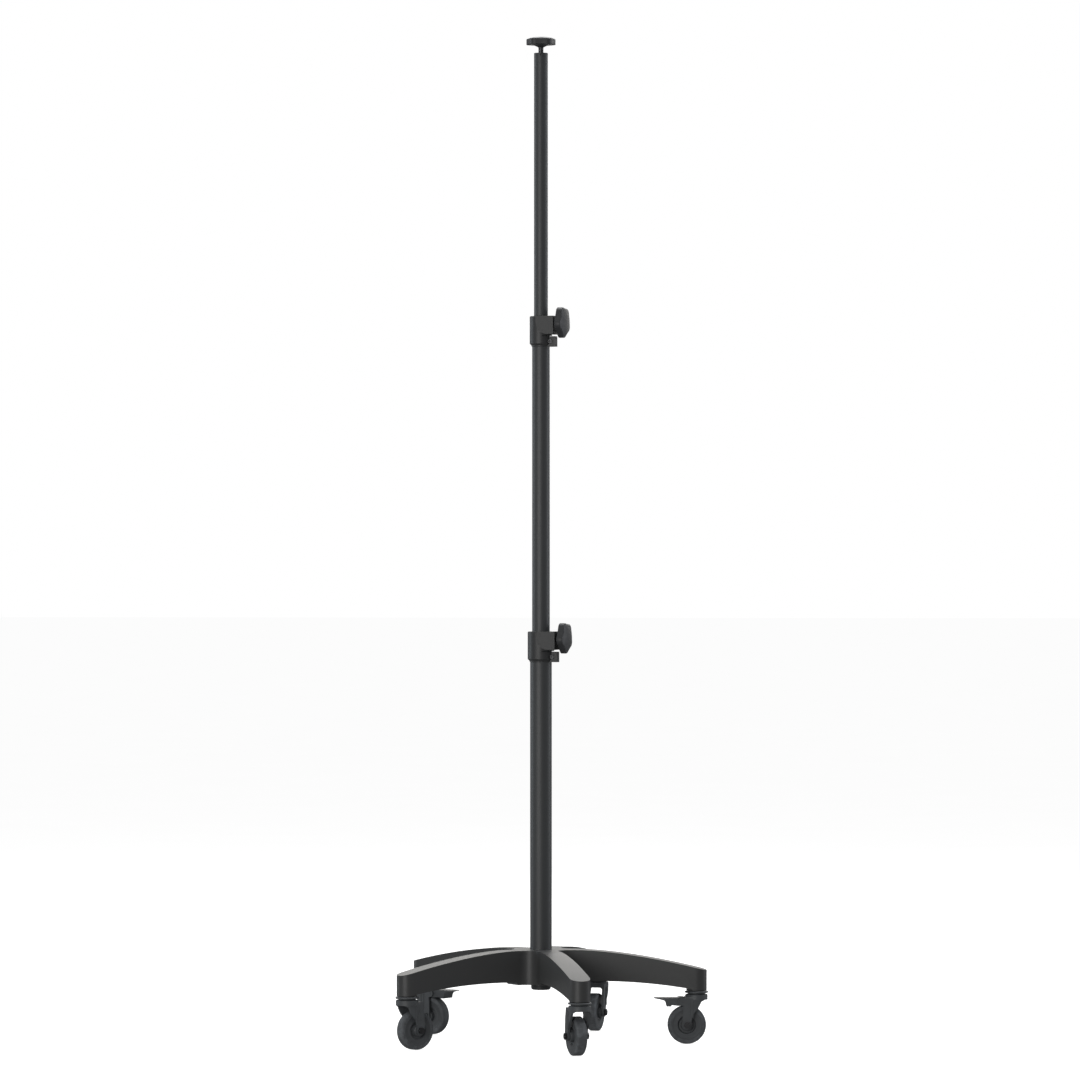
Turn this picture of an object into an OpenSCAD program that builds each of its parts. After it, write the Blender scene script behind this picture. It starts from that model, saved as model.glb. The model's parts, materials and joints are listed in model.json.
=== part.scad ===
// Wheeled telescopic pole stand: three tubes, two clamp collars, a star base and five casters.
// The origin is on the floor under the pole, +Z is up, and the first braked arm lies along +X.

/* [Mast] */
// Outer diameter of the lower tube
lower_tube_d = 43; // [42:0.5:44]
// Outer diameter of the middle tube
middle_tube_d = 35; // [34:0.5:36]
// Outer diameter of the upper tube
upper_tube_d = 27.5; // [26:0.5:28]
// Height of the top of the lower collar
lower_collar_top = 814; // [760:1:900]
// Height of the top of the upper collar
upper_collar_top = 1438; // [1380:1:1500]
// Height of the top of the upper tube
mast_top = 1958.8; // [1900:0.1:2000]

/* [Clamps] */
// Thickness of a collar's wall over the tube that it grips
collar_wall = 4.8; // [4.5:0.1:5.5]
// Height of a collar
collar_h = 60.5; // [60:0.5:64]
// Direction in which the clamp knobs point
knob_heading = -16; // [-60:1:60]
// Depth of a knob's axis below the top of its collar
knob_drop = 12; // [11:0.5:13]

/* [Knobs] */
// Radius over the lobes of a clamp's star knob
knob_r = 31.5; // [28:0.5:32]
// Radius over the lobes of the top knob
top_knob_r = 29.8; // [28:0.1:31]
// Thickness of a star knob's grip
knob_t = 12.5; // [11:0.5:14]

/* [Top stud] */
// Diameter of the plain part of the stud
stud_d = 10; // [9.5:0.1:10.5]
// Height of the plain part of the stud
stud_h = 10.8; // [10:0.1:12]

/* [Base] */
// Distance from the pole's axis to a caster's swivel axis
arm_reach = 308; // [300:1:330]
// Half the width of an arm
arm_half_w = 20.4; // [20:0.1:22]
// Height of the top of the hub
hub_top = 185; // [180:1:190]
// Height of the underside of the hub
hub_bottom = 117.6; // [116:0.1:119]
// Height of the underside of an arm's boss
boss_bottom = 106; // [105.5:0.1:107]

/* [Casters] */
// Diameter of a wheel
wheel_d = 76; // [75:0.5:77]
// Width of a tyre
wheel_w = 20.5; // [19:0.5:21]
// Distance from the swivel axis back to the axle
trail = 19.2; // [18:0.1:20]
// Angle by which each wheel trails away from the pole's direction
caster_yaw = 5; // [0:1:10]
// Thickness of a fork's leg
leg_t = 4.6; // [4:0.1:5]

/* [Hidden] */
$fn = 72;
eps = 0.01;
arms = 5;
run = 0.08;                      // radial clearance of a running fit
slip = 0.3;                      // clearance between faces that only pass each other
tube_wall = 2;
lower_r = lower_tube_d / 2;
middle_r = middle_tube_d / 2;
upper_r = upper_tube_d / 2;
lower_foot = 130;                // height of the foot of the lower tube in the hub
middle_foot = 695;
upper_foot = 1330;
tube_in_collar = 32.5;           // how far a tube's top stays below the top of its collar
wheel_r = wheel_d / 2;
rim_r = 30;
fork_in = 16;                    // half the gap between a fork's legs
fork_out = fork_in + leg_t;
crown_r = 22;
crown_top = 98;
crown_bottom = 87.5;
flange_h = 1.5;
ring_top = boss_bottom - flange_h;
ring_h = 4;
stem_r = 5.5;
axle_r = 4;
shoe_top = 84.5;
metal = [0.2, 0.2, 0.21];
cast = [0.15, 0.15, 0.16];
plastic = [0.1, 0.1, 0.11];
dark_rubber = [0.13, 0.14, 0.15];
steel = [0.62, 0.62, 0.64];

// Points along an arc about [x, y], from angle a to angle b
function arc(x, y, r, a, b, n = 10) =
    [for (i = [0:n]) [x + r * cos(a + (b - a) * i / n), y + r * sin(a + (b - a) * i / n)]];
function turned(p, a) = [p.x * cos(a) - p.y * sin(a), p.x * sin(a) + p.y * cos(a)];

// ---------- base ----------
root_fillet = 24;
sector = 360 / arms;
flat_r = 75;                     // the arms' tops are level out to here
tip_r = arm_reach + arm_half_w;
function top_z(r) = r < flat_r ? hub_top : hub_top - 39 * pow((r - flat_r) / (tip_r - flat_r), 1.6);
arch_r = 118;                    // where an arm's underside is highest
arch_z = 124;
arch_radius = 1105;
function under_z(r) = arch_z - arch_radius + sqrt(pow(arch_radius, 2) - pow(r - arch_r, 2));
fillet_d = (arm_half_w + root_fillet) / sin(sector / 2);
star_outline = [for (k = [0:arms - 1]) each [
    for (p = arc(arm_reach, 0, arm_half_w, -90, 90, 24)) turned(p, k * sector),
    for (p = arc(fillet_d, 0, root_fillet, 270 - sector / 2, 90 + sector / 2, 10))
        turned(p, (k + 0.5) * sector)
]];

module along_arms() {
    for (k = [0:arms - 1]) rotate([0, 0, k * sector]) children();
}

// Stands a profile of [distance along the arm, height] upright and gives it a width
module upright(width) {
    translate([0, width / 2, 0]) rotate([90, 0, 0]) linear_extrude(width) children();
}

module arm_top_cut() {
    upright(60) polygon([
        [flat_r, hub_top + 5], [flat_r, hub_top + 0.2],
        for (i = [1:16]) let (r = flat_r + (tip_r + 2 - flat_r) * i / 16) [r, top_z(r)],
        [tip_r + 2, hub_top + 5]
    ]);
}

// Everything below an arm's arched underside, up to the boss at its end
module arm_underside_cut() {
    difference() {
        upright(60) polygon([
            [50, boss_bottom - 1], [50, hub_bottom], [65, hub_bottom],
            for (i = [0:14]) let (r = 70 + (arm_reach - 72) * i / 14) [r, under_z(r)],
            [arm_reach - 2, boss_bottom - 1]
        ]);
        translate([arm_reach, 0, boss_bottom - 2]) cylinder(r = arm_half_w - 0.3, h = 40);
    }
}

// Hollow in the underside of an arm, between two cross ribs
module arm_hollow(r0, r1) {
    steps = 6;
    upright(2 * arm_half_w - 9) polygon([
        [r0, boss_bottom],
        for (i = [0:steps]) let (r = r0 + (r1 - r0) * i / steps) [r, top_z(r) - 5],
        [r1, boss_bottom]
    ]);
}

module base_casting() {
    color(cast) difference() {
        translate([0, 0, boss_bottom]) linear_extrude(hub_top - boss_bottom) polygon(star_outline);
        along_arms() arm_top_cut();
        along_arms() arm_underside_cut();
        translate([0, 0, boss_bottom - 1]) cylinder(r = 62, h = hub_bottom - boss_bottom + 1);
        along_arms() arm_hollow(66, 128);
        along_arms() arm_hollow(132, 204);
        along_arms() arm_hollow(208, 282);
        translate([0, 0, lower_foot]) cylinder(r = lower_r, h = 100);
        translate([0, 0, boss_bottom]) cylinder(r = 6.3, h = 40);
        along_arms() translate([arm_reach, 0, boss_bottom - 1]) cylinder(r = 9, h = 33);
    }
}

module hub_cap() {
    color(plastic) difference() {
        rotate_extrude() polygon([
            [0, 105], [17, 105], [19.5, 107.2], [19.5, hub_bottom], [0, hub_bottom]
        ]);
        translate([0, 0, 108]) cylinder(r = 17, h = 20);
    }
}

module hub_washer() {
    color(steel) translate([0, 0, hub_bottom - 2.5]) difference() {
        cylinder(r = 14, h = 2.5);
        translate([0, 0, -1]) cylinder(r = 6.3, h = 5);
    }
}

module hub_bolt() {
    color(steel) {
        translate([0, 0, hub_bottom - 9]) cylinder(r = 10, h = 6.5, $fn = 6);
        translate([0, 0, hub_bottom - 3]) cylinder(r = 6, h = 40);
    }
}

module lower_tube_plug() {
    color(steel) difference() {
        translate([0, 0, lower_foot]) cylinder(r = lower_r - tube_wall, h = 11.5);
        translate([0, 0, lower_foot - 1]) cylinder(r = 6, h = 30);
    }
}

// ---------- mast ----------
module tube(r, wall, z0, z1) {
    difference() {
        translate([0, 0, z0]) cylinder(r = r, h = z1 - z0);
        translate([0, 0, z0 - 1]) cylinder(r = r - wall, h = z1 - z0 + 2);
    }
}

module lower_tube() {
    color(metal) tube(lower_r, tube_wall, lower_foot, lower_collar_top - tube_in_collar);
}

module middle_tube() {
    color(metal) tube(middle_r, tube_wall, middle_foot, upper_collar_top - tube_in_collar);
}

module upper_tube() {
    color(metal) difference() {
        tube(upper_r, tube_wall, upper_foot, mast_top);
        plug_screw_hole();
    }
}

// A ring on the foot of a sliding tube, with a lip under the tube's end
module foot_bush(inner_r, outer_r, z) {
    color(plastic) difference() {
        translate([0, 0, z - 3]) cylinder(r = outer_r, h = 43);
        translate([0, 0, z]) cylinder(r = inner_r, h = 60);
        translate([0, 0, z - 5]) cylinder(r = inner_r - 1.5, h = 20);
    }
}

module middle_foot_bush() {
    foot_bush(middle_r, lower_r - tube_wall - run, middle_foot);
}

module upper_foot_bush() {
    foot_bush(upper_r, middle_r - tube_wall - run, upper_foot);
}

// ---------- clamps ----------
// A clamp's parts lie with the knob's axis along +X at height 0 and turn to the knobs' heading
shoe_r = 7;
screw_r = 4;
knob_gap = 0.4;                  // between a boss and the small end of its knob
bush_low = knob_drop - tube_in_collar + 0.1;
tab_h = 20.5;
pinch_r = 2.5;
pinch_drop = 38;                 // height of the pinch screw's axis below the knob's axis
pinch_slit = 2.5;

module at_clamp(top) {
    translate([0, 0, top - knob_drop]) rotate([0, 0, knob_heading]) children();
}

// The block that carries the knob, with a curve from its side down to its underside
module boss_block(r, reach, bend) {
    side = 24;
    upright(2 * r + 0.8) polygon([
        [bend - side, knob_drop], for (p = arc(bend, 0, side, 180, 270, 12)) p,
        [reach, -side], [reach, knob_drop]
    ]);
}

module collar(grip_r, slide_r, reach, bend) {
    r = grip_r + collar_wall;
    low = knob_drop - collar_h;
    color(cast) difference() {
        union() {
            rotate_extrude() polygon([
                [0, low], [r - 4.6, low], [r - 3.4, low + 1.2], [r - 3.4, low + 2.6], [r, low + 6],
                [r, knob_drop - 2], for (p = arc(r - 2, knob_drop - 2, 2, 0, 90, 6)) p, [0, knob_drop]
            ]);
            boss_block(r, reach, bend);
            translate([0, -8, low]) cube([r + 9.4, 16, tab_h]);
        }
        translate([0, 0, low - 1]) cylinder(r = grip_r, h = collar_h - 2);
        cylinder(r = slide_r + 1, h = 40);
        rotate([0, 90, 0]) cylinder(r = shoe_r + run, h = grip_r + 6);
        rotate([0, 90, 0]) cylinder(r = screw_r + 0.05, h = 80);
        translate([0, -pinch_slit / 2, low - 1]) cube([80, pinch_slit, tab_h + 2.2]);
        translate([10, -r - 5, low + tab_h]) cube([80, 2 * r + 10, 1.5]);
        at_pinch_screw(grip_r) cylinder(r = pinch_r + 0.05, h = 60, center = true);
        at_pinch_screw(grip_r) translate([0, 0, 5]) cylinder(r = 4.6, h = 30);
        at_pinch_screw(grip_r) translate([0, 0, -35]) cylinder(r = 4.7, h = 30, $fn = 6);
    }
}

// The pinch screw runs across the tab and its slit, just outside the tube
module at_pinch_screw(grip_r) {
    translate([grip_r + 4.5, 0, -pinch_drop]) rotate([90, 0, 0]) children();
}

module pinch_screw(grip_r) {
    color(steel) at_pinch_screw(grip_r) difference() {
        union() {
            translate([0, 0, -8.5]) cylinder(r = pinch_r, h = 14);
            translate([0, 0, 5]) cylinder(r = 4.3, h = 4.5);
        }
        translate([0, 0, 6.5]) cylinder(r = 2.3, h = 10, $fn = 6);
    }
}

module pinch_nut(grip_r) {
    color(steel) at_pinch_screw(grip_r) difference() {
        translate([0, 0, -8.6]) cylinder(r = 4.5, h = 3.6, $fn = 6);
        translate([0, 0, -20]) cylinder(r = pinch_r + 0.05, h = 40);
    }
}

// A lipped bush in a collar's mouth, with a window for the pressure shoe
module guide_bush(grip_r, slide_r) {
    color(plastic) difference() {
        translate([0, 0, bush_low]) cylinder(r = grip_r - 0.03, h = knob_drop - 3.05 - bush_low);
        translate([0, 0, bush_low - 1]) cylinder(r = slide_r + run, h = 60);
        rotate([0, 90, 0]) cylinder(r = shoe_r + run, h = 60);
    }
}

module pressure_shoe(slide_r, back) {
    color("goldenrod") difference() {
        rotate([0, 90, 0]) cylinder(r = shoe_r, h = back);
        translate([0, 0, -20]) cylinder(r = slide_r + slip, h = 40);
    }
}

module clamp_knob_screw(back, reach) {
    color(steel) translate([back + eps, 0, 0]) rotate([0, 90, 0])
        cylinder(r = screw_r, h = reach + knob_gap + 14 - back);
}

module clamp_knob(reach, phase) {
    color(plastic) translate([reach + knob_gap, 0, 0]) rotate([phase, 0, 0]) rotate([0, 90, 0])
        difference() {
            star_knob(knob_r, 4.8);
            translate([0, 0, -1]) cylinder(r = screw_r, h = 15);
        }
}

// ---------- star knob, along +Z from the small end of its hub ----------
hub_cone_h = 4.9;
dome_h = 3.4;

// Outline of a grip of radius r, with five lobes and a shallow valley between each two
function knob_outline(r) = let (
    lobe_r = 0.38 * r,
    lobe_d = r - lobe_r,
    valley = 0.87 * r,
    valley_r = (lobe_d * lobe_d + valley * valley - 2 * lobe_d * valley * cos(36) - lobe_r * lobe_r)
        / (2 * lobe_r - 2 * valley + 2 * lobe_d * cos(36)),
    valley_d = valley + valley_r,
    lobe_turn = atan2(valley_d * sin(36), valley_d * cos(36) - lobe_d),
    valley_turn = atan2(lobe_d * sin(36), valley_d - lobe_d * cos(36))
) [for (k = [0:4]) each [
    for (p = arc(lobe_d, 0, lobe_r, -lobe_turn, lobe_turn, 12)) turned(p, k * 72),
    for (p = arc(valley_d, 0, valley_r, 180 + valley_turn, 180 - valley_turn, 8)) turned(p, k * 72 + 36)
]];

module star_knob(r, tip_r) {
    top = hub_cone_h + knob_t;
    union() {
        cylinder(r1 = tip_r, r2 = 16, h = hub_cone_h + eps);
        intersection() {
            translate([0, 0, hub_cone_h]) linear_extrude(knob_t + dome_h + 1) polygon(knob_outline(r));
            rotate_extrude() polygon([
                [0, hub_cone_h], [r - 1.5, hub_cone_h], [r, hub_cone_h + 1.5], [r - 0.5, top - 4],
                for (p = arc(r - 3.5, top - 3, 3, 0, 60, 4)) p,
                for (i = [0:8]) let (x = (r - 5) * (1 - i / 8))
                    [x, top + dome_h - (dome_h - 0.2) * pow(x / (r - 5), 2)]
            ]);
        }
    }
}

// ---------- top of the mast ----------
plug_low = 1926;
thread_top = 1983.5;
screw_heading = -86;
washer_h = 0.8;
insert_low = 2.2;                // where the top knob's moulded-in insert starts, above its small end

module top_plug() {
    color(plastic) difference() {
        translate([0, 0, plug_low]) cylinder(r = upper_r - tube_wall - 0.03, h = mast_top - plug_low);
        translate([0, 0, plug_low + 8]) cylinder(r = stud_d / 2 - 0.47, h = 60);
        plug_screw_hole();
    }
}

module top_stud() {
    shoulder = mast_top + stud_h;
    color(steel) union() {
        translate([0, 0, plug_low + 8]) cylinder(r = stud_d / 2 - 0.5, h = mast_top - plug_low - 8 + eps);
        translate([0, 0, mast_top]) cylinder(r = stud_d / 2, h = stud_h);
        translate([0, 0, shoulder - eps]) cylinder(r = stud_d / 2 - 0.4, h = thread_top - shoulder);
    }
}

module at_plug_screw() {
    translate([0, 0, mast_top - 4.2]) rotate([0, 0, screw_heading]) rotate([0, 90, 0]) children();
}

module plug_screw_hole() {
    at_plug_screw() translate([0, 0, 6]) cylinder(r = 2.9, h = 20);
}

module plug_screw() {
    color(steel) at_plug_screw() difference() {
        translate([0, 0, 6]) cylinder(r = 2.85, h = upper_r - 5.4);
        translate([0, 0, upper_r - 1.4]) cylinder(r = 1.4, h = 5, $fn = 6);
    }
}

module top_washer() {
    color(steel) translate([0, 0, mast_top + stud_h]) difference() {
        cylinder(r = 5.6, h = washer_h);
        translate([0, 0, -1]) cylinder(r = stud_d / 2 - 0.32, h = 5);
    }
}

module top_knob() {
    color(plastic) translate([0, 0, mast_top + stud_h + washer_h]) difference() {
        rotate([0, 0, screw_heading + 36]) star_knob(top_knob_r, 5.4);
        translate([0, 0, -1]) cylinder(r = stud_d / 2 - 0.32, h = 5);
        translate([0, 0, insert_low]) cylinder(r = 6.4, h = 12.3);
    }
}

module top_knob_insert() {
    color("goldenrod") translate([0, 0, mast_top + stud_h + washer_h]) difference() {
        translate([0, 0, insert_low + 0.03]) cylinder(r = 6.37, h = 12.2);
        translate([0, 0, -1]) cylinder(r = stud_d / 2 - 0.32, h = 20);
    }
}

// ---------- casters ----------
// A caster's parts lie with the swivel axis at the origin and the wheel trailing towards +X
module at_caster(k) {
    rotate([0, 0, k * sector]) translate([arm_reach, 0, 0]) rotate([0, 0, 180 + caster_yaw]) children();
}

module at_all_casters() {
    for (k = [0:arms - 1]) at_caster(k) children();
}

module caster_sockets() {
    color(plastic) at_all_casters() difference() {
        union() {
            translate([0, 0, boss_bottom - eps]) cylinder(r = 8.97, h = 31);
            translate([0, 0, ring_top]) cylinder(r = 15, h = flange_h);
        }
        translate([0, 0, ring_top - 1]) cylinder(r = stem_r + 0.03, h = 60);
    }
}

module caster_stems() {
    color(steel) at_all_casters() {
        translate([0, 0, crown_bottom + 0.7]) cylinder(r = 8.6, h = 2);
        translate([0, 0, crown_bottom + 2]) cylinder(r = stem_r, h = 46);
    }
}

module caster_top_rings() {
    color(plastic) at_all_casters() difference() {
        rotate_extrude() polygon([
            [0, crown_top + slip], [17, crown_top + slip], [17, ring_top - ring_h],
            [crown_r, ring_top - ring_h], [crown_r + 1, ring_top - ring_h + 1.2],
            [crown_r + 1, ring_top - 1.4], [crown_r - 0.4, ring_top], [0, ring_top]
        ]);
        translate([0, 0, crown_top - 1]) cylinder(r = stem_r + 0.03, h = 20);
    }
}

ear_u = 29;
ear_r = 7.5;

module fork_leg() {
    polygon([
        [-17, crown_top - 4], [-17, crown_bottom + 0.5], [-9, 84], [-3, 72], [8, 58], [10.6, 46],
        for (p = arc(trail, 38, 9, 150, 360, 14)) p,
        [28, 56], [26.5, 76], [24, 86], [22.5, crown_top - 4]
    ]);
}

// The space between the legs, rounded under the crown
module fork_slot() {
    bend = 5;
    translate([-60, 0, 0]) rotate([90, 0, 90]) linear_extrude(200) polygon([
        [-fork_in, -10], [fork_in, -10],
        for (p = arc(fork_in - bend, crown_bottom - bend, bend, 0, 90, 6)) p,
        for (p = arc(bend - fork_in, crown_bottom - bend, bend, 90, 180, 6)) p
    ]);
}

module fork(k, braked) {
    color(plastic) at_caster(k) difference() {
        union() {
            rotate_extrude() polygon([
                [0, crown_bottom], [crown_r, crown_bottom], [crown_r, crown_top - 1], [crown_r - 1, crown_top],
                [0, crown_top]
            ]);
            difference() {
                upright(2 * fork_out) fork_leg();
                difference() {
                    translate([-60, -60, 0]) cube([60, 120, 120]);
                    translate([0, 0, -1]) cylinder(r = crown_r - 0.2, h = 130);
                }
            }
            if (braked) upright(2 * fork_out) polygon([
                [16, 78], [26, 76.6], for (p = arc(ear_u, 84, ear_r, -80, 90, 10)) p, [16, 92]
            ]);
            for (side = [-1, 1], u = [6.8, 13.2])
                translate([u, side * (fork_out + 0.2) - 0.6, 52]) cube([1.4, 1.2, crown_bottom - 51]);
        }
        fork_slot();
        if (braked) {
            translate([crown_r + 1, -fork_in, 60]) cube([60, 2 * fork_in, 60]);
            translate([ear_u, 0, 84]) rotate([90, 0, 0]) cylinder(r = 2.55, h = 80, center = true);
        }
        translate([0, 0, 60]) cylinder(r = stem_r + 0.07, h = 60);
        translate([0, 0, crown_bottom - 1]) cylinder(r = 8.9, h = 4);
        translate([trail, 0, 38]) rotate([90, 0, 0]) cylinder(r = axle_r + 0.03, h = 80, center = true);
    }
}

module at_axle(k) {
    at_caster(k) translate([trail, 0, wheel_r]) rotate([90, 0, 0]) children();
}

// Bolt, spacer sleeve and nut of one wheel
module axle_set(k) {
    color(steel) at_axle(k) {
        translate([0, 0, -fork_out - 5]) cylinder(r = axle_r, h = 2 * fork_out + 7);
        translate([0, 0, fork_out + 0.1]) cylinder(r = 6.6, h = 3.6);
        difference() {
            cylinder(r = 6, h = 2 * fork_in - 0.2, center = true);
            cylinder(r = axle_r + 0.03, h = 60, center = true);
        }
        difference() {
            translate([0, 0, -fork_out - 4.1]) cylinder(r = 7.2, h = 4, $fn = 6);
            cylinder(r = axle_r + 0.03, h = 80, center = true);
        }
    }
}

core_half = wheel_w / 2 - 0.3;
recess_r = 18;
hub_r = 11;

module wheel_core(k) {
    color(plastic) at_axle(k) rotate_extrude() polygon([
        [6 + run, -15], [hub_r - 1, -15], [hub_r, -14], [hub_r + 0.6, -5], [recess_r - 1, -5],
        [recess_r, -core_half], [rim_r, -core_half], [rim_r, core_half], [recess_r, core_half],
        [recess_r - 1, 5], [hub_r + 0.6, 5], [hub_r, 14], [hub_r - 1, 15], [6 + run, 15]
    ]);
}

module tyre(k) {
    shoulder = 3.5;
    color(dark_rubber) at_axle(k) rotate_extrude() polygon([
        [rim_r + 0.03, -wheel_w / 2], [wheel_r - shoulder, -wheel_w / 2],
        for (p = arc(wheel_r - shoulder, shoulder - wheel_w / 2, shoulder, -75, 0, 6)) p,
        for (p = arc(wheel_r - shoulder, wheel_w / 2 - shoulder, shoulder, 0, 75, 6)) p,
        [wheel_r - shoulder, wheel_w / 2], [rim_r + 0.03, wheel_w / 2]
    ]);
}

module brake_pedal(k) {
    color(plastic) at_caster(k) union() {
        intersection() {
            upright(2 * (fork_in - slip)) polygon([
                [24.2, 80], [24.2, 88.5], [26.5, 93.3], [34, 93.3], [38, 91.3], [85, 91.3], [85, 90.4],
                [72, 88.4], [64, 86], [61, 82], [59.5, 74.4], [51, 74.4], [49.5, 77], [35, 75.6],
                [27, 76.5]
            ]);
            translate([0, 0, 60]) linear_extrude(50) polygon([
                [20, -16], [70, -16], for (p = arc(70, -1, 15, -90, 0, 6)) p,
                for (p = arc(70, 1, 15, 0, 90, 6)) p, [20, 16]
            ]);
        }
        translate([ear_u, 0, 84]) rotate([90, 0, 0])
            cylinder(r = 2.5, h = 2 * fork_out + 1, center = true);
    }
}

module brake_shoe(k) {
    color(dark_rubber) at_caster(k) difference() {
        translate([11, -9.5, 70]) cube([12, 19, shoe_top - 70]);
        translate([trail, 0, wheel_r]) rotate([90, 0, 0]) cylinder(r = wheel_r + 1.6, h = 80, center = true);
    }
}

// ---------- every node ----------
lower_reach = lower_r + collar_wall + 11.7;
upper_reach = middle_r + collar_wall + 11;
lower_back = lower_r + 2;
upper_back = middle_r + 2;

module lower_collar() { at_clamp(lower_collar_top) collar(lower_r, middle_r, lower_reach, lower_reach - 14.5); }
module lower_guide_bush() { at_clamp(lower_collar_top) guide_bush(lower_r, middle_r); }
module lower_pinch_screw() { at_clamp(lower_collar_top) pinch_screw(lower_r); }
module lower_pinch_nut() { at_clamp(lower_collar_top) pinch_nut(lower_r); }
module lower_pressure_shoe() { at_clamp(lower_collar_top) pressure_shoe(middle_r, lower_back); }
module lower_knob_screw() { at_clamp(lower_collar_top) clamp_knob_screw(lower_back, lower_reach); }
module lower_knob() { at_clamp(lower_collar_top) clamp_knob(lower_reach, 66); }
module upper_collar() { at_clamp(upper_collar_top) collar(middle_r, upper_r, upper_reach, upper_reach - 12.8); }
module upper_guide_bush() { at_clamp(upper_collar_top) guide_bush(middle_r, upper_r); }
module upper_pinch_screw() { at_clamp(upper_collar_top) pinch_screw(middle_r); }
module upper_pinch_nut() { at_clamp(upper_collar_top) pinch_nut(middle_r); }
module upper_pressure_shoe() { at_clamp(upper_collar_top) pressure_shoe(upper_r, upper_back); }
module upper_knob_screw() { at_clamp(upper_collar_top) clamp_knob_screw(upper_back, upper_reach); }
module upper_knob() { at_clamp(upper_collar_top) clamp_knob(upper_reach, 66); }

base_casting();
hub_cap();
hub_bolt();
hub_washer();
lower_tube_plug();
lower_tube();
middle_tube();
upper_tube();
middle_foot_bush();
upper_foot_bush();
lower_collar();
lower_guide_bush();
lower_pinch_screw();
lower_pinch_nut();
upper_collar();
upper_guide_bush();
upper_pinch_screw();
upper_pinch_nut();
lower_knob();
lower_knob_screw();
lower_pressure_shoe();
upper_knob();
upper_knob_screw();
upper_pressure_shoe();
top_plug();
top_stud();
plug_screw();
top_knob();
top_knob_insert();
top_washer();
caster_sockets();
caster_stems();
caster_top_rings();
fork(0, true);  // fork_1
axle_set(0);  // axle_set_1
wheel_core(0);  // wheel_core_1
tyre(0);  // tyre_1
fork(1, false);  // fork_2
axle_set(1);  // axle_set_2
wheel_core(1);  // wheel_core_2
tyre(1);  // tyre_2
fork(2, true);  // fork_3
axle_set(2);  // axle_set_3
wheel_core(2);  // wheel_core_3
tyre(2);  // tyre_3
fork(3, false);  // fork_4
axle_set(3);  // axle_set_4
wheel_core(3);  // wheel_core_4
tyre(3);  // tyre_4
fork(4, false);  // fork_5
axle_set(4);  // axle_set_5
wheel_core(4);  // wheel_core_5
tyre(4);  // tyre_5
brake_pedal(0);  // brake_pedal_1
brake_shoe(0);  // brake_shoe_1
brake_pedal(2);  // brake_pedal_3
brake_shoe(2);  // brake_shoe_3
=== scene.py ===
"""Looks of a wheeled telescopic pole stand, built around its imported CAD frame. Metres, +Z up."""

import json
import math

import bmesh
import bpy
from mathutils import Matrix, Vector


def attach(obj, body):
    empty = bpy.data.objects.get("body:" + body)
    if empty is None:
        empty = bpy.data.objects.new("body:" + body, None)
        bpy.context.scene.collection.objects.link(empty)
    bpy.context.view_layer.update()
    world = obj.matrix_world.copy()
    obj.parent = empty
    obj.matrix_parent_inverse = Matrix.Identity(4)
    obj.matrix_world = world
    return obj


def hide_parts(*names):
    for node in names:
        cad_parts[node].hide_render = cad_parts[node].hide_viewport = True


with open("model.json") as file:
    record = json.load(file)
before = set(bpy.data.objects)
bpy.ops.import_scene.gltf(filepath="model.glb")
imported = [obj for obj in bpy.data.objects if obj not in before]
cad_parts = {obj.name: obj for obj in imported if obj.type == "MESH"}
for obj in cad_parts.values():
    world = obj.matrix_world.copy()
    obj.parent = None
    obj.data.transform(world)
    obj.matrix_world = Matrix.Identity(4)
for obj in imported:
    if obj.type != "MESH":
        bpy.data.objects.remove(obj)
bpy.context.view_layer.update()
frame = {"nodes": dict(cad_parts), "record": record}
nodes = frame["nodes"]
scene = bpy.context.scene

# The camera is level: its turn about +Z in degrees, then its place in metres
CAMERA_AZIMUTH = 4.0
CAMERA_DISTANCE = 11.0
CAMERA_HEIGHT = 0.995
CAMERA_SIDE = 0.0019
LENS_MM = 185.2
SENSOR_MM = 36.0
VIEW_END = 200.0
FLOOR_HALF = 60.0
# Brightness of the white surround: what the camera sees of it, and what it lights the stand with
WORLD_SEEN = 1.0
WORLD_LIGHT = 0.22


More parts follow.
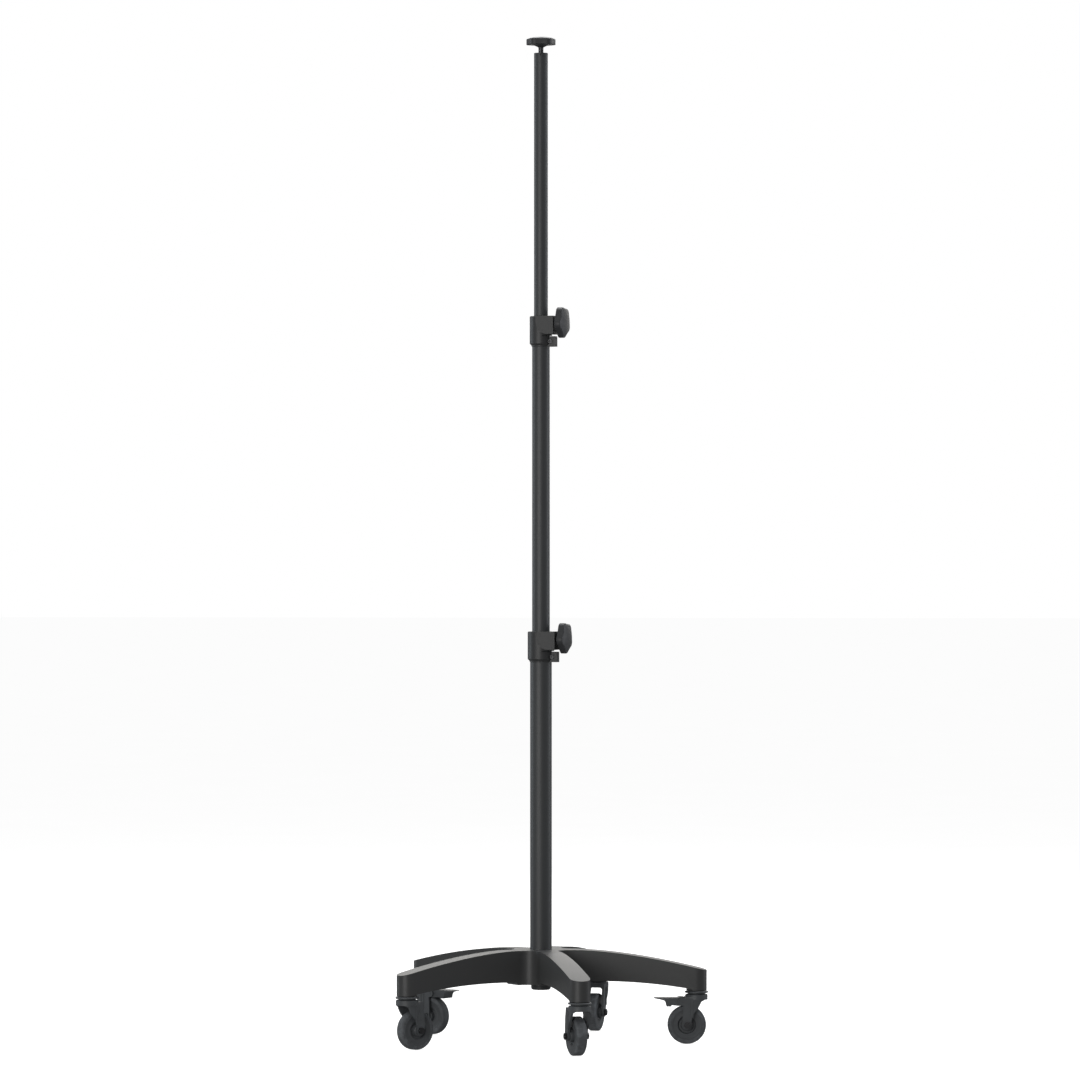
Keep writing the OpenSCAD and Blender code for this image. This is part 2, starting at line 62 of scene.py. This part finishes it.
# ---------- node helpers ----------
class Shader:
    """A material being wired. noise, voronoi, remap, math and mix add a node and return its output socket."""

    def __init__(self, name):
        self.material = bpy.data.materials.new(name)
        self.material.use_nodes = True
        self.tree = self.material.node_tree
        self.bsdf = self.tree.nodes["Principled BSDF"]
        self.place = self.tree.nodes.new("ShaderNodeTexCoord").outputs["Object"]

    def node(self, kind, inputs=None, **settings):
        made = self.tree.nodes.new(kind)
        for key, value in settings.items():
            setattr(made, key, value)
        for key, value in (inputs or {}).items():
            self.give(made.inputs[key], value)
        return made

    def give(self, socket, value):
        if isinstance(value, bpy.types.NodeSocket):
            self.tree.links.new(value, socket)
        else:
            socket.default_value = value

    def noise(self, scale, detail=3.0, roughness=0.55, stretch=None):
        where = self.place
        if stretch:
            where = self.node("ShaderNodeMapping", {"Vector": where, "Scale": stretch}).outputs[0]
        inputs = {"Vector": where, "Scale": scale, "Detail": detail, "Roughness": roughness}
        return self.node("ShaderNodeTexNoise", inputs).outputs["Fac"]

    def voronoi(self, scale):
        return self.node("ShaderNodeTexVoronoi", {"Vector": self.place, "Scale": scale}).outputs["Distance"]

    def remap(self, value, from_low, from_high, low, high):
        inputs = {"Value": value, "From Min": from_low, "From Max": from_high, "To Min": low, "To Max": high}
        return self.node("ShaderNodeMapRange", inputs).outputs["Result"]

    def math(self, operation, a, b=0.0):
        made = self.node("ShaderNodeMath", operation=operation)
        self.give(made.inputs[0], a)
        self.give(made.inputs[1], b)
        return made.outputs[0]

    def mix(self, amount, a, b):
        made = self.node("ShaderNodeMix", data_type="RGBA")
        self.give(made.inputs["Factor"], amount)
        self.give(made.inputs["A"], a)
        self.give(made.inputs["B"], b)
        return made.outputs["Result"]

    def bump(self, height, strength, distance):
        inputs = {"Height": height, "Strength": strength, "Distance": distance}
        self.give(self.bsdf.inputs["Normal"], self.node("ShaderNodeBump", inputs).outputs["Normal"])

    def set(self, **values):
        for key, value in values.items():
            self.give(self.bsdf.inputs[key.replace("_", " ")], value)


def rgb(r, g, b):
    return (r, g, b, 1.0)


# ---------- materials ----------
def powder_coat(name, tone, rough, grain):
    """Satin powder coat: a fine orange peel, slightly uneven gloss and fine paler specks."""
    s = Shader(name)
    broad = s.noise(6.0, 2.0)
    peel = s.noise(900.0, 2.0)
    speck = s.noise(2600.0, 1.0)
    dark = rgb(*(0.96 * c for c in tone))
    light = rgb(*(1.04 * c for c in tone))
    fleck = rgb(*(1.5 * c for c in tone))
    base = s.mix(s.remap(broad, 0.35, 0.65, 0.0, 1.0), dark, light)
    s.give(s.bsdf.inputs["Base Color"], s.mix(s.remap(speck, 0.6, 0.75, 0.0, 0.5), base, fleck))
    smear = s.remap(s.noise(16.0, 2.0), 0.3, 0.7, rough - 0.01, rough + 0.015)
    s.give(s.bsdf.inputs["Roughness"], s.math("ADD", smear, s.remap(speck, 0.3, 0.7, -0.01, 0.01)))
    s.set(Metallic=0.0, Specular_IOR_Level=0.5)
    s.bump(s.math("ADD", peel, s.math("MULTIPLY", speck, 0.4)), 0.22 * grain, 0.00012)
    return s.material


def moulded_plastic(name, tone, rough):
    """Moulded plastic: a fine spark-eroded grain, faint flow marks and a few paler scuffs."""
    s = Shader(name)
    flow = s.noise(22.0, 3.0, stretch=(1.0, 1.0, 2.5))
    grain = s.voronoi(1400.0)
    dark = rgb(*(0.92 * c for c in tone))
    light = rgb(*(1.08 * c for c in tone))
    scuffed = rgb(*(min(1.0, 1.7 * c + 0.03) for c in tone))
    base = s.mix(s.remap(flow, 0.35, 0.65, 0.0, 1.0), dark, light)
    scuff = s.remap(s.noise(260.0, 2.0, stretch=(1.0, 1.0, 5.0)), 0.66, 0.8, 0.0, 0.4)
    s.give(s.bsdf.inputs["Base Color"], s.mix(scuff, base, scuffed))
    s.give(s.bsdf.inputs["Roughness"], s.remap(s.noise(45.0, 4.0), 0.3, 0.7, rough - 0.06, rough + 0.07))
    s.set(Specular_IOR_Level=0.45)
    s.bump(s.math("ADD", grain, s.math("MULTIPLY", s.noise(3000.0), 0.5)), 0.3, 0.00008)
    return s.material


def tyre_rubber(name, tone):
    """Grey rubber with a fine matt skin, floor dust and short scuffs."""
    s = Shader(name)
    dust = s.noise(60.0, 5.0, 0.65)
    scuff = s.noise(35.0, 4.0, stretch=(3.0, 3.0, 9.0))
    base = s.mix(s.remap(dust, 0.42, 0.7, 0.0, 1.0), rgb(*tone), rgb(*(1.7 * c + 0.015 for c in tone)))
    dull = rgb(*(2.3 * c + 0.02 for c in tone))
    s.give(s.bsdf.inputs["Base Color"], s.mix(s.remap(scuff, 0.62, 0.78, 0.0, 0.55), base, dull))
    s.give(s.bsdf.inputs["Roughness"], s.remap(dust, 0.3, 0.7, 0.55, 0.78))
    s.set(Specular_IOR_Level=0.35)
    s.bump(s.math("ADD", s.noise(1800.0), s.math("MULTIPLY", scuff, 0.8)), 0.4, 0.00015)
    return s.material


def steel(name, tone, rough, stretch):
    """Machined steel with fine turning lines and a little uneven tarnish."""
    s = Shader(name)
    lines = s.noise(420.0, 2.0, stretch=stretch)
    tarnish = s.noise(55.0, 4.0)
    base = s.mix(s.remap(tarnish, 0.35, 0.7, 0.0, 0.8), rgb(*tone), rgb(*(0.62 * c for c in tone)))
    s.give(s.bsdf.inputs["Base Color"], base)
    s.give(s.bsdf.inputs["Roughness"], s.remap(lines, 0.3, 0.7, rough - 0.08, rough + 0.1))
    s.set(Metallic=1.0)
    s.bump(lines, 0.25, 0.00006)
    return s.material


MATERIALS = {
    "cast_base": powder_coat("cast_base", (0.045, 0.046, 0.047), 0.40, 1.5),
    "collar_coat": powder_coat("collar_coat", (0.029, 0.030, 0.032), 0.46, 1.3),
    "tube_coat": powder_coat("tube_coat", (0.045, 0.048, 0.051), 0.46, 0.8),
    "knob_plastic": moulded_plastic("knob_plastic", (0.034, 0.036, 0.039), 0.48),
    "caster_plastic": moulded_plastic("caster_plastic", (0.076, 0.082, 0.088), 0.42),
    "bush_nylon": moulded_plastic("bush_nylon", (0.045, 0.045, 0.047), 0.5),
    "tyre": tyre_rubber("tyre", (0.082, 0.088, 0.095)),
    "brake_rubber": tyre_rubber("brake_rubber", (0.028, 0.028, 0.03)),
    "dark_steel": steel("dark_steel", (0.085, 0.086, 0.09), 0.40, (1.0, 1.0, 12.0)),
    "zinc_steel": steel("zinc_steel", (0.58, 0.58, 0.56), 0.32, (1.0, 1.0, 8.0)),
    "brass": steel("brass", (0.72, 0.53, 0.26), 0.28, (1.0, 1.0, 10.0)),
}
# Radius in millimetres that each moulded, cast or machined edge is broken with
EDGE_MM = {
    "cast_base": 2.6, "collar_coat": 1.0, "tube_coat": 0.4, "knob_plastic": 1.2, "caster_plastic": 0.7,
    "bush_nylon": 0.4, "tyre": 0.5, "brake_rubber": 0.8, "dark_steel": 0.35, "zinc_steel": 0.4, "brass": 0.3,
}
# The same radius on the pieces that are built here
ROUND_EDGE_MM = 0.5
# An edge is rounded above SHARP_DEGREES, and faces that turn less than FLAT_DEGREES are merged
SHARP_DEGREES = 32.0
FLAT_DEGREES = 0.4
WELD_M = 2e-6


def bevel_edges(piece, radius_mm):
    """Rounds a piece's sharp edges."""
    bevel = piece.modifiers.new("edges", "BEVEL")
    bevel.width = radius_mm / 1000.0
    bevel.segments = 3
    bevel.limit_method = "ANGLE"
    bevel.angle_limit = math.radians(SHARP_DEGREES)
    bevel.harden_normals = True


def break_edges(cad, radius_mm):
    """Rounds the sharp edges of a CAD piece with modifiers and shades it smooth; its mesh stays as imported.
    """
    mesh = cad.data
    if mesh.has_custom_normals:
        with bpy.context.temp_override(object=cad, active_object=cad, selected_objects=[cad]):
            bpy.ops.mesh.customdata_custom_splitnormals_clear()
    mesh.shade_smooth()
    weld = cad.modifiers.new("weld", "WELD")
    weld.merge_threshold = WELD_M
    flatten = cad.modifiers.new("flatten", "DECIMATE")
    flatten.decimate_type = "DISSOLVE"
    flatten.angle_limit = math.radians(FLAT_DEGREES)
    bevel_edges(cad, radius_mm)


# ---------- rounder pieces for the knobs and wheels ----------
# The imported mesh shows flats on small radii, so the pieces whose outline shows are built again, finely.
# Sizes are in millimetres, as in the CAD; places come from the frame, in metres.
joints = {joint["name"]: joint for joint in frame["record"]["behaviour"]["joints"]}
LOBES = 5
LOBE_TURN = 360.0 / LOBES
LOBE_SHARE = 0.38
VALLEY_SHARE = 0.87
# Radii of a knob over its lobes, at its small end and in its bore
CLAMP_KNOB_SIZES = (31.5, 4.8, 4.02)
TOP_KNOB_SIZES = (29.8, 5.4, 4.68)
CLAMP_KNOB_TURN = 66.0
TOP_KNOB_TURN = -50.0
# A knob's conical neck and its wide end, the heights of its grip and of the dome on it, and its bore's end
KNOB_CONE = 4.9
KNOB_CONE_R = 16.0
KNOB_GRIP = 12.5
KNOB_DOME = 3.4
KNOB_BORE_TOP = 14.0
# The grip's underside meets the neck NECK_INSET in from the outline, and its lower edge has a radius
NECK_INSET = 2.2
LOWER_EDGE = 1.4
GRIP_WAIST = 5.0
# The upper edge starts this far below the grip's top, rises by its height and goes in by its depth
UPPER_EDGE_START = 2.6
UPPER_EDGE_H = 2.4
UPPER_EDGE_IN = 2.2
# The dome starts in from the outline, and falls towards EDGE_TOP above the grip near the rim
DOME_INSET = 2.4
DOME_MARGIN = 5.0
EDGE_TOP = 0.2
# Points round a wheel
WHEEL_STEPS = 120
CASTERS = 5


def arc(x, y, r, start, end, steps):
    """Points on an arc about (x, y), between two angles in degrees."""
    turns = [math.radians(start + (end - start) * i / steps) for i in range(steps + 1)]
    return [(x + r * math.cos(t), y + r * math.sin(t)) for t in turns]


def star_outline(r):
    """The five-lobed outline of a knob, as in the CAD: lobes joined by shallow valleys."""
    lobe_r, valley = LOBE_SHARE * r, VALLEY_SHARE * r
    lobe_d = r - lobe_r
    half_turn = math.radians(LOBE_TURN / 2.0)
    c, s = math.cos(half_turn), math.sin(half_turn)
    apart = lobe_d**2 + valley**2 - 2 * lobe_d * valley * c
    valley_r = (apart - lobe_r**2) / (2 * (lobe_r - valley + lobe_d * c))
    valley_d = valley + valley_r
    lobe_turn = math.degrees(math.atan2(valley_d * s, valley_d * c - lobe_d))
    valley_turn = math.degrees(math.atan2(lobe_d * s, valley_d - lobe_d * c))
    lobe = arc(lobe_d, 0.0, lobe_r, -lobe_turn, lobe_turn, 16)
    dip = arc(valley_d, 0.0, valley_r, 180.0 + valley_turn, 180.0 - valley_turn, 8)[1:-1]
    points = []
    for k in range(LOBES):
        for share, path in ((0.0, lobe), (0.5, dip)):
            turn = Matrix.Rotation(math.radians(LOBE_TURN * (k + share)), 2)
            points += [turn @ Vector(point) for point in path]
    return points


def skin(name, rings, closed, place, slot, body, replaced):
    """A mesh through rings of points in millimetres, put in place in metres; it stands for one CAD node."""
    bm = bmesh.new()
    loops = [[bm.verts.new(point) for point in ring] for ring in rings]
    pairs = list(zip(loops, loops[1:])) + ([(loops[-1], loops[0])] if closed else [])
    for low, high in pairs:
        for i in range(max(len(low), len(high))):
            j = (i + 1) % max(len(low), len(high))
            corners = [low[i % len(low)], low[j % len(low)], high[j % len(high)], high[i % len(high)]]
            bm.faces.new(list(dict.fromkeys(corners)))
    bmesh.ops.recalc_face_normals(bm, faces=bm.faces)
    bm.transform(place @ Matrix.Scale(0.001, 4))
    mesh = bpy.data.meshes.new(name)
    bm.to_mesh(mesh)
    bm.free()
    mesh.shade_smooth()
    piece = bpy.data.objects.new(name, mesh)
    scene.collection.objects.link(piece)
    mesh.materials.append(MATERIALS[slot])
    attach(piece, body)
    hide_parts(replaced)
    bevel_edges(piece, ROUND_EDGE_MM)


def star_knob(name, sizes, place, body, replaced):
    """A knob from its bore out over the neck, round the grip's edge and up to the middle of the dome."""
    r, tip_r, bore_r = sizes
    outline = star_outline(r)
    count = len(outline)
    normals = []
    for i, point in enumerate(outline):
        along = outline[(i + 1) % count] - outline[i - 1]
        normals.append(Vector((along.y, -along.x)).normalized())
    top = KNOB_CONE + KNOB_GRIP

    def circle(radius, z):
        return [(*(point.normalized() * radius), z) for point in outline]

    def inset(depth, z):
        return [(*(point - normal * depth), z) for point, normal in zip(outline, normals)]

    def dome(share):
        ring = []
        for point, normal in zip(outline, normals):
            at = (point - normal * DOME_INSET) * share
            fall = (KNOB_DOME - EDGE_TOP) * (at.length / (r - DOME_MARGIN)) ** 2
            ring.append((*at, top + KNOB_DOME - fall))
        return ring

    rings = [[(0.0, 0.0, KNOB_BORE_TOP)], circle(bore_r, KNOB_BORE_TOP)]
    rings += [circle(bore_r, 0.0), circle(tip_r, 0.0)]
    rings += [circle(tip_r + (KNOB_CONE_R - tip_r) * i / 4.0, KNOB_CONE * i / 4.0) for i in range(1, 5)]
    rings.append(inset(NECK_INSET, KNOB_CONE))
    for degrees in (0.0, 22.5, 45.0, 67.5, 90.0):
        t = math.radians(degrees)
        rings.append(inset(LOWER_EDGE * (1.0 - math.sin(t)), KNOB_CONE + LOWER_EDGE * (1.0 - math.cos(t))))
    rings.append(inset(0.0, KNOB_CONE + GRIP_WAIST))
    for degrees in (0.0, 20.0, 40.0, 60.0, 78.0):
        t = math.radians(degrees)
        height = top - UPPER_EDGE_START + UPPER_EDGE_H * math.sin(t)
        rings.append(inset(UPPER_EDGE_IN * (1.0 - math.cos(t)), height))
    rings += [dome(share) for share in (1.0, 0.92, 0.8, 0.65, 0.5, 0.35, 0.2, 0.08)]
    rings.append([(0.0, 0.0, top + KNOB_DOME)])
    skin(name, rings, False, place, "knob_plastic", body, replaced)


def revolved(name, profile, place, slot, body, replaced):
    """Turns a closed profile of (radius, distance along the axis) about the axis."""
    rings = []
    for radius, z in profile:
        turns = (2.0 * math.pi * i / WHEEL_STEPS for i in range(WHEEL_STEPS))
        rings.append([(radius * math.cos(t), radius * math.sin(t), z) for t in turns])
    skin(name, rings, True, place, slot, body, replaced)


def turn_to(axis):
    """The turn that takes +Z to an axis."""
    return Vector((0.0, 0.0, 1.0)).rotation_difference(Vector(axis)).to_matrix().to_4x4()


def tip_of(node, origin, axis):
    """How far along the axis a knob's small end lies from the origin."""
    cad = nodes[node]
    return min((cad.matrix_world @ v.co - origin).dot(axis) for v in cad.data.vertices)


for which in ("lower", "upper"):
    joint = joints[which + "_knob_turn"]
    origin, axis = Vector(joint["pos_m"]), Vector(joint["axis"])
    small_end = origin + axis * tip_of(which + "_knob", origin, axis)
    heading = Matrix.Rotation(math.atan2(axis.y, axis.x), 4, "Z")
    star_turn = Matrix.Rotation(math.radians(CLAMP_KNOB_TURN), 4, "X")
    lie_down = Matrix.Rotation(math.radians(90.0), 4, "Y")
    place = Matrix.Translation(small_end) @ heading @ star_turn @ lie_down
    star_knob(which + "_knob_grip", CLAMP_KNOB_SIZES, place, which + "_clamp_knob", which + "_knob")

up = Vector((0.0, 0.0, 1.0))
top_end = up * tip_of("top_knob", Vector(), up)
place = Matrix.Translation(top_end) @ Matrix.Rotation(math.radians(TOP_KNOB_TURN), 4, "Z")
star_knob("top_knob_grip", TOP_KNOB_SIZES, place, "top_clamp_knob", "top_knob")

# Half profiles of a wheel's tyre and core: radius and distance from the wheel's middle plane
TYRE_SIDE = [(30.03, 10.25), (30.9, 10.25), (31.2, 10.5), (31.9, 10.5), (32.2, 10.25), (33.6, 10.25)]
TYRE_TREAD = [(38.0, 3.0), (38.0, 0.5), (37.75, 0.25)]
TYRE_HALF = TYRE_SIDE + [(r, z) for r, z in arc(34.5, 6.75, 3.5, 80.0, 0.0, 8)] + TYRE_TREAD
CORE_HALF = [
    (6.08, 15.0), (10.0, 15.0), (11.0, 14.0), (11.6, 5.6), (12.4, 5.0), (16.4, 5.0), (17.2, 5.7),
    (18.0, 9.95), (21.5, 9.95), (21.9, 9.6), (27.2, 9.6), (27.6, 9.95), (30.0, 9.95),
]
for i in range(1, CASTERS + 1):
    joint = joints[f"wheel_spin_{i}"]
    place = Matrix.Translation(Vector(joint["pos_m"])) @ turn_to(joint["axis"])
    for kind, slot, half in (("tyre", "tyre", TYRE_HALF), ("wheel_core", "caster_plastic", CORE_HALF)):
        profile = half + [(r, -z) for r, z in reversed(half)]
        revolved(f"{kind}_round_{i}", profile, place, slot, f"caster_wheel_{i}", f"{kind}_{i}")

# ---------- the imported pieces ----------
slot_of = {entry["node"]: entry["material_slot"] for entry in frame["record"]["subparts"]}
for name, cad in nodes.items():
    slot = slot_of[name]
    cad.data.materials.clear()
    cad.data.materials.append(MATERIALS[slot])
    break_edges(cad, EDGE_MM[slot])


# ---------- floor, light and camera ----------
def floor_white():
    """Pale matt sheet that glows enough to stay white under a dark object."""
    s = Shader("floor_white")
    tone = s.mix(s.remap(s.noise(3.0), 0.3, 0.7, 0.0, 1.0), rgb(0.50, 0.50, 0.50), rgb(0.53, 0.53, 0.53))
    s.give(s.bsdf.inputs["Base Color"], tone)
    s.set(Roughness=0.9, Specular_IOR_Level=0.0, Emission_Color=rgb(1.0, 1.0, 1.0), Emission_Strength=0.86)
    return s.material


def make_floor():
    mesh = bpy.data.meshes.new("floor")
    bm = bmesh.new()
    bmesh.ops.create_grid(bm, x_segments=1, y_segments=1, size=FLOOR_HALF)
    bm.to_mesh(mesh)
    bm.free()
    floor = bpy.data.objects.new("floor", mesh)
    floor.data.materials.append(floor_white())
    floor.visible_diffuse = False
    floor.visible_glossy = False
    scene.collection.objects.link(floor)


def area_light(name, place, target, size, power, colour=(1.0, 1.0, 1.0)):
    data = bpy.data.lights.new(name, "AREA")
    data.shape = "RECTANGLE"
    data.size, data.size_y = size
    data.energy = power
    data.color = colour
    lamp = bpy.data.objects.new(name, data)
    lamp.location = place
    lamp.rotation_euler = (Vector(target) - Vector(place)).to_track_quat("-Z", "Y").to_euler()
    lamp.visible_camera = False
    scene.collection.objects.link(lamp)


def make_camera():
    azimuth = math.radians(CAMERA_AZIMUTH)
    right = Vector((math.cos(azimuth), math.sin(azimuth), 0.0))
    ahead = Vector((-math.sin(azimuth), math.cos(azimuth), 0.0))
    data = bpy.data.cameras.new("camera")
    data.lens = LENS_MM
    data.sensor_width = SENSOR_MM
    data.clip_end = VIEW_END
    camera = bpy.data.objects.new("camera", data)
    camera.location = -CAMERA_DISTANCE * ahead - CAMERA_SIDE * right + Vector((0.0, 0.0, CAMERA_HEIGHT))
    camera.rotation_euler = (math.radians(90.0), 0.0, azimuth)
    scene.collection.objects.link(camera)
    scene.camera = camera


def make_surround():
    """White to the camera and much weaker as a light, so that the dark stand keeps its tones."""
    world = bpy.data.worlds.new("studio")
    world.use_nodes = True
    tree = world.node_tree
    background = tree.nodes["Background"]
    background.inputs["Color"].default_value = rgb(1.0, 1.0, 1.0)
    ray = tree.nodes.new("ShaderNodeLightPath")
    level = tree.nodes.new("ShaderNodeMapRange")
    level.inputs["To Min"].default_value = WORLD_LIGHT
    level.inputs["To Max"].default_value = WORLD_SEEN
    tree.links.new(ray.outputs["Is Camera Ray"], level.inputs["Value"])
    tree.links.new(level.outputs["Result"], background.inputs["Strength"])
    scene.world = world


make_floor()
make_surround()
scene.view_settings.view_transform = "Standard"
area_light("overhead", (0.2, 1.0, 3.8), (0.0, 0.0, 0.2), (3.0, 3.0), 130.0)
area_light("left_strip", (-3.0, 0.9, 1.4), (0.0, 0.0, 0.9), (0.8, 2.8), 26.0, (0.88, 0.95, 1.0))
area_light("right_strip", (3.0, 1.0, 1.5), (0.0, 0.0, 0.9), (0.8, 2.8), 26.0, (0.92, 0.95, 1.0))
area_light("back_sheet", (0.2, 4.5, 2.3), (0.0, 0.0, 0.2), (5.0, 2.2), 62.0, (1.0, 0.98, 0.94))
area_light("front_fill", (-1.8, -4.8, 1.2), (0.0, 0.0, 0.5), (3.0, 2.2), 95.0, (1.0, 0.99, 0.97))
make_camera()
